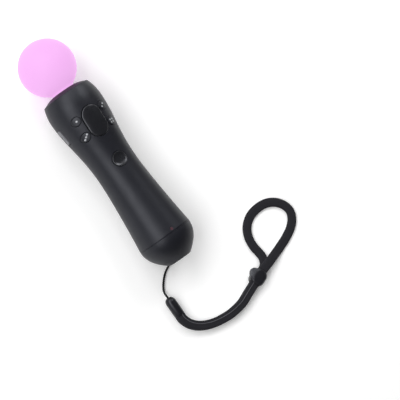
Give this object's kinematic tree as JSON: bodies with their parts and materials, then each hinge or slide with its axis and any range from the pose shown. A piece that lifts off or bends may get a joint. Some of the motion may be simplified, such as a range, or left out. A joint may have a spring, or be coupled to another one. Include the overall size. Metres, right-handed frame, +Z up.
{
  "type": "motion controller wand",
  "caption": "Handheld motion controller wand with a glowing sphere on a round waisted grip, thumb and face buttons, a rear trigger and a wrist strap.",
  "frame": {"origin": "on the floor, under the middle of the wand as it lies on its back", "axes": "+X from the sphere to the tail, +Y to the wand's right seen from its front, +Z up out of the thumb button"},
  "size_m": [0.2618, 0.1349, 0.0457],
  "materials": {
    "sphere": "satin translucent, lit from inside",
    "casing": "soft-touch matt charcoal",
    "black_plastic": "satin black",
    "button_plastic": "semi-gloss black",
    "steel": "plain",
    "board": "solder mask",
    "white_board": "solder mask",
    "chip": "moulded",
    "flex": "polyimide film",
    "silicone": "matt",
    "rubber": "matt",
    "gold": "plated",
    "led": "clear",
    "red_lens": "clear red",
    "cell_wrap": "shrink sleeve",
    "tungsten": "sintered",
    "red_wire": "insulation",
    "blue_wire": "insulation",
    "strap_fabric": "woven"
  },
  "bodies": {
    "wand": {"light_sphere": "sphere", "head_collar": "casing", "light_carrier": "black_plastic", "light_board": "white_board", "light_led": "led", "light_flex": "flex", "front_casing": "casing", "rear_casing": "casing", "casing_screws": "steel", "trigger_pin": "steel", "trigger_spring": "steel", "sensor_plate": "black_plastic", "trigger_sensor": "silicone", "sensor_flex": "flex", "main_board": "board", "board_screws": "steel", "board_chips": "chip", "button_pad": "silicone", "home_switch": "chip", "side_switches": "chip", "status_pipe": "red_lens", "battery_cell": "cell_wrap", "battery_leads": "red_wire", "vibration_motor": "steel", "motor_boot": "rubber", "motor_leads": "blue_wire", "end_cap": "casing", "port_board": "board", "port_flex": "flex", "usb_socket": "steel", "usb_tongue": "black_plastic", "ext_socket": "black_plastic", "ext_pins": "gold", "charge_contacts": "gold", "strap_bar": "steel", "strap_string": "strap_fabric", "strap_ferrule": "black_plastic", "wrist_band": "strap_fabric"},
    "thumb_button": {"thumb_button": "button_plastic"},
    "face_button_1": {"face_button_1": "button_plastic"},
    "face_button_2": {"face_button_2": "button_plastic"},
    "face_button_3": {"face_button_3": "button_plastic"},
    "face_button_4": {"face_button_4": "button_plastic"},
    "home_button": {"home_button": "button_plastic"},
    "side_button_left": {"side_button_left": "button_plastic"},
    "side_button_right": {"side_button_right": "button_plastic"},
    "trigger": {"trigger": "button_plastic"},
    "motor_rotor": {"motor_shaft": "steel", "motor_weight": "tungsten"},
    "strap_slider": {"strap_slider": "black_plastic"}
  },
  "joints": [
    {"name": "thumb_press", "type": "slide", "parent": "wand", "child": "thumb_button", "axis": [0, 0, -1], "range_m": [0, 0.0009], "stiffness_N_per_m": 1600},
    {"name": "face_press_1", "type": "slide", "parent": "wand", "child": "face_button_1", "axis": [0, 0, -1], "range_m": [0, 0.0008], "stiffness_N_per_m": 1200},
    {"name": "face_press_2", "type": "slide", "parent": "wand", "child": "face_button_2", "axis": [0, 0, -1], "range_m": [0, 0.0008], "stiffness_N_per_m": 1200},
    {"name": "face_press_3", "type": "slide", "parent": "wand", "child": "face_button_3", "axis": [0, 0, -1], "range_m": [0, 0.0008], "stiffness_N_per_m": 1200},
    {"name": "face_press_4", "type": "slide", "parent": "wand", "child": "face_button_4", "axis": [0, 0, -1], "range_m": [0, 0.0008], "stiffness_N_per_m": 1200},
    {"name": "home_press", "type": "slide", "parent": "wand", "child": "home_button", "axis": [0, 0, -1], "range_m": [0, 0.0006], "stiffness_N_per_m": 1500},
    {"name": "side_press_left", "type": "slide", "parent": "wand", "child": "side_button_left", "axis": [0, 1, 0], "range_m": [0, 0.0006], "stiffness_N_per_m": 1500},
    {"name": "side_press_right", "type": "slide", "parent": "wand", "child": "side_button_right", "axis": [0, -1, 0], "range_m": [0, 0.0006], "stiffness_N_per_m": 1500},
    {"name": "trigger_pull", "type": "hinge", "parent": "wand", "child": "trigger", "pos_m": [-0.034, 0, 0.0057], "axis": [0, -1, 0], "range_deg": [0, 10], "stiffness_Nm_per_rad": 0.15, "deforming": ["trigger_spring"]},
    {"name": "motor_spin", "type": "hinge", "parent": "wand", "child": "motor_rotor", "pos_m": [-0.0089, 0, 0.0153], "axis": [1, 0, 0], "continuous": true},
    {"name": "slider_slide", "type": "slide", "parent": "wand", "child": "strap_slider", "axis": [0.342, -0.9397, 0], "range_m": [0, 0.016]}
  ]
}
